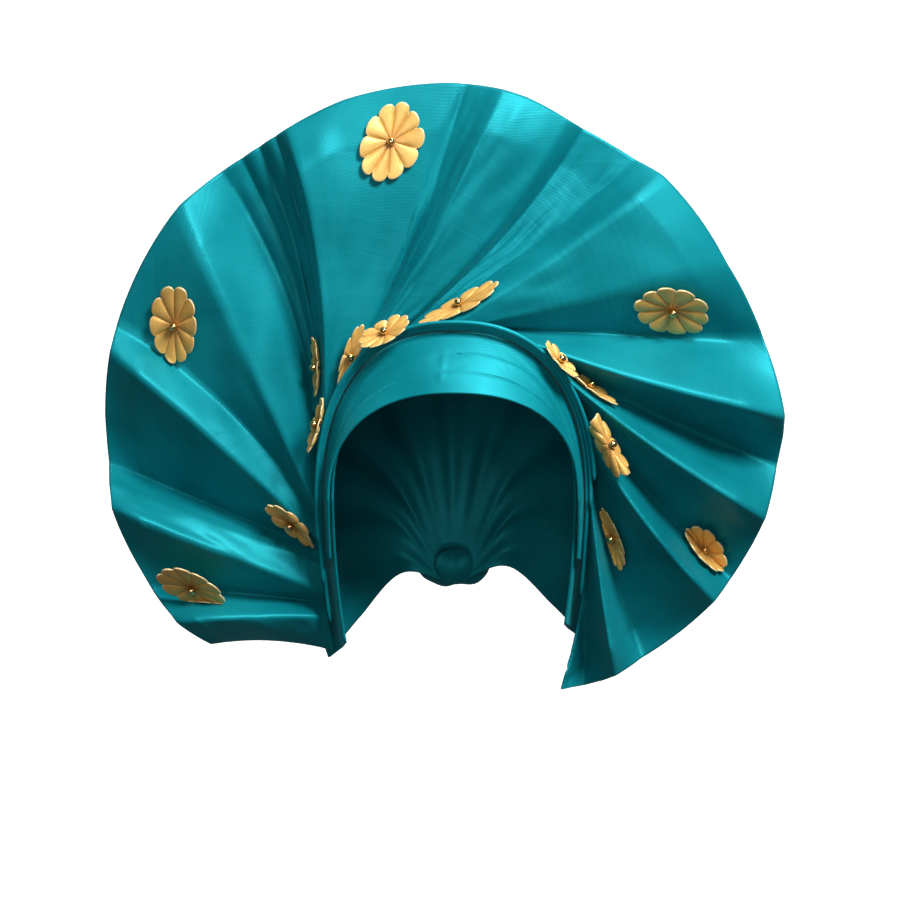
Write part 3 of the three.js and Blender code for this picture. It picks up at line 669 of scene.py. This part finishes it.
a = np.linspace(0, 2 * np.pi, knotShape["sides"], endpoint=False)[:, None]
b = np.linspace(0.02, np.pi - 0.02, knotShape["rings"])[None, :]
across = -np.cos(b) + 0 * a
around = np.sin(b)
narrow = 1 - knotShape["waist"] * (1 - np.abs(across)) ** 2
spiral = knotShape["crease"] * np.sin(a * 2 + across * 7) * around ** 0.5
knotGrid = vec(across * knotShape["halfWidth"],
               np.cos(a) * around * (knotShape["halfDepth"] * narrow + spiral * 0.6),
               np.sin(a) * around * (knotShape["halfHeight"] * narrow + spiral))
edgeShare = hoodShape["gatherRadius"] / knotShape["halfWidth"]
sunk = knotShape["halfDepth"] * math.sqrt(1 - edgeShare ** 2)
knotGrid = knotGrid + np.array([0, gatherRing["depth"] + knotShape["seatGap"] + sunk, gatherRing["z"]])
knotPiece = sheetMesh("tied_knot", knotGrid, closed=True)
knotPiece.data.materials.append(hoodClothPaintedShade)
settle(knotPiece, "cloth", "nape_knot")
print("knot: done")


# Gilt leather flowers, each with a bead

flowerShape = {
    "radius": 21.5, "wall": 0.7, "petals": 10, "notch": 0.2, "dish": 1.6, "gap": 0.25,
    "rib": 0.32, "seam": 0.55, "puff": 0.7, "petalColumns": 14, "rings": 20, "uneven": 0.09,
    # name, pleat line, along, size, width, turn
    "onFan": (("top", 15.5, 0.84, 1, 0.8, 0), ("upper_left", 8.35, 0.8, 0.75, 1.28, 20),
              ("lower_left", 2.3, 0.7, 0.84, 1.1, 0), ("upper_right", 26.5, 0.72, 0.9, 1.08, 10),
              ("lower_right", 33.0, 0.84, 0.8, 1, 30), ("pleat_left_low", 6.5, 0.13, 0.8, 0.5, 0),
              ("pleat_left_high", 12.5, 0.3, 0.75, 0.4, 15), ("pleat_top_left", 15.6, 0.2, 0.85, 0.4, 0),
              ("pleat_top", 24.6, 0.14, 1, 0.5, 10), ("pleat_right_high", 30.62, 0.185, 0.8, 0.34, 0),
              ("pleat_right_mid", 33.95, 0.18, 0.85, 0.45, 20),
              ("pleat_right_low", 35.6, 0.45, 0.85, 0.45, 0)),
    # name, angle, lean, size, width, turn
    "onRolls": (("band_left", 112, 40, 0.72, 0.5, 0), ("band_right", 54, 55, 0.6, 0.4, 0),
                ("pleat_left_mid", 150, 72, 0.72, 0.4, 0)),
}


# straight off the fan's front, evened out over its neighbourhood
def offFan(place, along):
    wide, long = 0.3, 0.05
    acrossStep = fanPoint(place + wide, along) - fanPoint(place - wide, along)
    alongStep = fanPoint(place, np.clip(along + long, 0, 1)) - fanPoint(place, np.clip(along - long, 0, 1))
    return unit(np.cross(acrossStep, alongStep))


# places that lie the given distances across the pleats from one place, measured over the cloth
def placesAcross(place, along, distance):
    reach = np.linspace(-3, 3, 161)
    samples = plainFan(np.clip(place + reach, 0, lastFold)[None, :], along[:, None])
    gone = np.hstack([np.zeros((len(along), 1)), np.linalg.norm(np.diff(samples, axis=1), axis=-1).cumsum(1)])
    gone = gone - gone[:, 80:81]
    found = [np.interp(d, g, reach) for d, g in zip(distance, gone)]
    return np.clip(place + np.array(found), 0.05, lastFold - 0.05)


# one flower's own flat pattern: turn round the bead, share from the middle to the edge, height in mm
def petalPattern(turnOffset, number):
    s = flowerShape
    rng = np.random.default_rng(seed + 100 + number)
    step = 2 * np.pi / s["petals"]
    inPetal = 0.5 - 0.5 * np.cos(np.pi * np.arange(s["petalColumns"]) / s["petalColumns"])
    turns, edges, local = [], [], []
    lengths = 1 - s["uneven"] * rng.uniform(0, 1, s["petals"])
    for k in range(s["petals"]):
        lobe = np.clip(1 - np.abs(2 * inPetal - 1) ** 2.4, 0, 1) ** 0.5
        low = min(lengths[k], lengths[k - 1]) * (1 - s["notch"])
        after = min(lengths[k], lengths[(k + 1) % s["petals"]]) * (1 - s["notch"])
        base = np.where(inPetal < 0.5, low, after)
        turns.append(step * (k + inPetal))
        edges.append(base + (lengths[k] - base) * lobe)
        local.append(inPetal)
    turns, edges, local = (np.concatenate(x) for x in (turns, edges, local))
    rings = np.linspace(0.0, 1, s["rings"])
    rings[0] = 0.015
    share = rings[None, :] * edges[:, None]
    off = np.abs(2 * local - 1)[:, None]
    out = rings[None, :]
    puff = s["puff"] * (1 - off ** 2) * ease(out / 0.8) * (1 - 0.35 * ease((out - 0.8) / 0.2))
    seam = -s["seam"] * np.exp(-((1 - off) / 0.16) ** 2) * ease(out / 0.25) * ease((1.05 - out) / 0.3)
    ribs = sum(np.exp(-(((local[:, None] - r) / 0.05) ** 2)) for r in (0.3, 0.5, 0.7))
    ribs = s["rib"] * ribs * ease(out / 0.12) * ease((0.8 - out) / 0.35)
    dish = s["dish"] * share ** 2
    return turns + turnOffset, share, dish + puff + seam + ribs, rings


# the petals' weave coordinates run round the bead and out to the edge, each from 0 to 1
def flowerMesh(name, grid, rings):
    aroundBead = np.linspace(0, 1, grid.shape[0])
    lengths = np.stack(np.broadcast_arrays(aroundBead[:, None] / mm, rings[None, :] / mm), -1)
    piece = sheetMesh(name, grid, closed=True, lengths=lengths)
    thicken(piece, flowerShape["wall"])
    piece.data.materials.append(giltLeather)
    return piece


beadShape = {"radius": 2.1, "bore": 0.5, "thread": 0.35, "sides": 28, "rings": 18}


# a polished bead with its bore, and the thread that holds it
def beadMesh(name, centre, way):
    s = beadShape
    lift = np.linspace(-np.pi / 2, math.acos(s["bore"] / s["radius"]), s["rings"])
    profile = [(s["radius"] * math.cos(l), s["radius"] * math.sin(l)) for l in lift]
    top = profile[-1][1]
    profile += [(s["bore"] * 0.8, top - 0.15), (s["thread"], top - 0.1),
                (s["thread"] * 0.8, top + 0.12), (0.02, top + 0.2)]
    profile[0] = (0.02, profile[0][1])
    side = unit(np.cross(way, [0.3, 0.1, 0.9]))
    other = np.cross(way, side)
    turn = np.linspace(0, 2 * np.pi, s["sides"], endpoint=False)[:, None]
    radius, height = np.array(profile).T
    grid = (centre + side * (np.cos(turn) * radius)[..., None] + other * (np.sin(turn) * radius)[..., None]
            + way * np.broadcast_to(height, (s["sides"], len(profile)))[..., None])
    piece = sheetMesh(name, grid, closed=True)
    piece.data.materials.append(beadGold)
    return piece


seating = {"step": 0.2, "mostSteps": 60}


def touches(points, trees, room):
    return any(tree.find_nearest(Vector(p), room)[0] is not None for tree in trees for p in points)


# how far a grid of points slides along a direction until it is clear of every tree
def clearShift(grid, way, trees, room):
    points = grid[::2, ::3].reshape(-1, 3)
    for step in range(seating["mostSteps"]):
        shift = way * seating["step"] * step
        if not touches(points + shift, trees, room):
            return shift
    return way * seating["step"] * seating["mostSteps"]


front = np.array([0.0, -1.0, 0.0])
seatTrees = [fanTree] + [treeOf(g, True) for g in rollGrids] + [treeOf(bandGrid)]
flowerPieces, beadPieces = [], []


# seats one flower and its bead clear of the cloth and of the flowers before it
def placeFlower(name, grid, rings, way, centre):
    slide = unit(front + way)
    room = flowerShape["wall"] / 2 + flowerShape["gap"] + fanShape["wall"] / 2
    shift = clearShift(grid, slide, seatTrees, room)
    grid = grid + shift
    petals = flowerMesh("petals_" + name, grid, rings)
    settle(petals, "petals", "flower_" + name)
    beadCentre = centre + shift + way * (flowerShape["wall"] / 2 + beadShape["radius"])
    bead = beadMesh("stud_" + name, beadCentre, way)
    settle(bead, "bead", "bead_" + name)
    seatTrees.append(treeOf(grid, True))
    flowerPieces.append(petals)
    beadPieces.append(bead)


for number, (name, place, along, size, width, turned) in enumerate(flowerShape["onFan"]):
    turns, share, height, rings = petalPattern(math.radians(turned), number)
    radius = flowerShape["radius"] * size * share
    root, rim = (plainFan(np.array(place), np.array(end)) for end in (0.0, 1.0))
    pleatLength = float(np.linalg.norm(rim - root))
    alongs = np.clip(along + radius * np.cos(turns)[:, None] / pleatLength, 0.0, 1.0)
    sideways = radius * width * np.sin(turns)[:, None]
    places = placesAcross(place, alongs.ravel(), sideways.ravel()).reshape(alongs.shape)
    ways = offFan(places, alongs)
    base = (fanShape["wall"] + flowerShape["wall"]) / 2 + flowerShape["gap"]
    grid = fanPoint(places, alongs) + ways * (base + height)[..., None]
    way = offFan(np.array(place, float), np.array(along, float))
    placeFlower(name, grid, rings, way, grid[:, 0].mean(0))

for number, (name, angle, lean, size, width, turned) in enumerate(flowerShape["onRolls"]):
    turns, share, height, rings = petalPattern(math.radians(turned), 50 + number)
    radius = flowerShape["radius"] * size * share
    outward = ringOutward(bandRing, np.array(float(angle)))
    x = np.cross(outward, front)
    tilt = -math.radians(lean)
    way = (front * math.cos(tilt) + np.cross(x, front) * math.sin(tilt)
           + x * float(x @ front) * (1 - math.cos(tilt)))
    y = np.cross(x, way)
    middleLine = rollPoint(2, np.array(float(angle)))
    start = middleLine + way * (rollShape["radius"] + flowerShape["wall"] + rollShape["seam"])
    grid = (start + x * (radius * np.cos(turns)[:, None])[..., None]
            + y * (radius * width * np.sin(turns)[:, None])[..., None] + way * height[..., None])
    placeFlower(name, grid, rings, way, grid[:, 0].mean(0))
print("flowers: done", len(flowerPieces))


# Floor, light and camera

studio = {
    "floor": -0.42, "front": -2.4, "wall": 1.25, "halfWidth": 3.0, "wallHeight": 2.8, "bend": 0.4,
    "pale": (0.8, 0.8, 0.8), "paleRough": 0.9,
    "target": (-0.002, -0.02, -0.0286), "distance": 1.98, "halfView": 0.234,
    "key": dict(at=(0.62, -1.1, 0.95), size=0.45, power=37),
    "fill": dict(at=(-0.3, -2.3, 0.3), size=1.0, power=11),
    "top": dict(at=(0.2, -0.35, 1.3), size=0.6, power=6),
    "world": 0.1, "glow": 0.75,
}

backY, floorZ, bend = studio["wall"], studio["floor"], studio["bend"]
turn = np.linspace(0, math.pi / 2, 17)
cove = np.stack([backY - bend + bend * np.sin(turn), floorZ + bend - bend * np.cos(turn)], -1)
flat = np.array([[studio["front"], floorZ], [backY - bend, floorZ]])
upright = np.concatenate([cove, [[backY, floorZ + studio["wallHeight"]]]])
for name, line, glow in (("floor", flat, 0.0), ("backdrop", upright, studio["glow"])):
    grid = np.array([[(x * studio["halfWidth"], y, z) for y, z in line] for x in (-1, 0, 1)]) / mm
    sheet = sheetMesh(name, grid)
    paper, _, _, paperShader = nodeTree("pale_" + name)
    paperShader.inputs["Base Color"].default_value = (*studio["pale"], 1)
    paperShader.inputs["Roughness"].default_value = studio["paleRough"]
    paperShader.inputs["Emission Color"].default_value = (1, 1, 1, 1)
    paperShader.inputs["Emission Strength"].default_value = glow
    sheet.data.materials.append(paper)
    # the pale surroundings are seen, but throw little light back on the cloth
    sheet.visible_diffuse = False
    sheet.visible_glossy = False

for lampName in ("key", "fill", "top"):
    setting = studio[lampName]
    lamp = bpy.data.lights.new(lampName, "AREA")
    lamp.energy, lamp.size = setting["power"], setting["size"]
    holder = bpy.data.objects.new(lampName, lamp)
    bpy.context.scene.collection.objects.link(holder)
    holder.location = setting["at"]
    aim = Vector(studio["target"]) - Vector(setting["at"])
    holder.rotation_euler = aim.to_track_quat("-Z", "Y").to_euler()

world = bpy.data.worlds.new("studio")
world.use_nodes = True
world.node_tree.nodes["Background"].inputs["Color"].default_value = (1, 1, 1, 1)
world.node_tree.nodes["Background"].inputs["Strength"].default_value = studio["world"]
bpy.context.scene.world = world
bpy.context.scene.view_settings.view_transform = "Standard"

camera = bpy.data.objects.new("camera", bpy.data.cameras.new("camera"))
bpy.context.scene.collection.objects.link(camera)
camera.location = Vector(studio["target"]) + Vector((0, -studio["distance"], 0))
camera.rotation_euler = (math.radians(90), 0, 0)
camera.data.sensor_fit = "HORIZONTAL"
camera.data.angle = 2 * math.atan(studio["halfView"] / studio["distance"])
bpy.context.scene.camera = camera
print("studio: done")
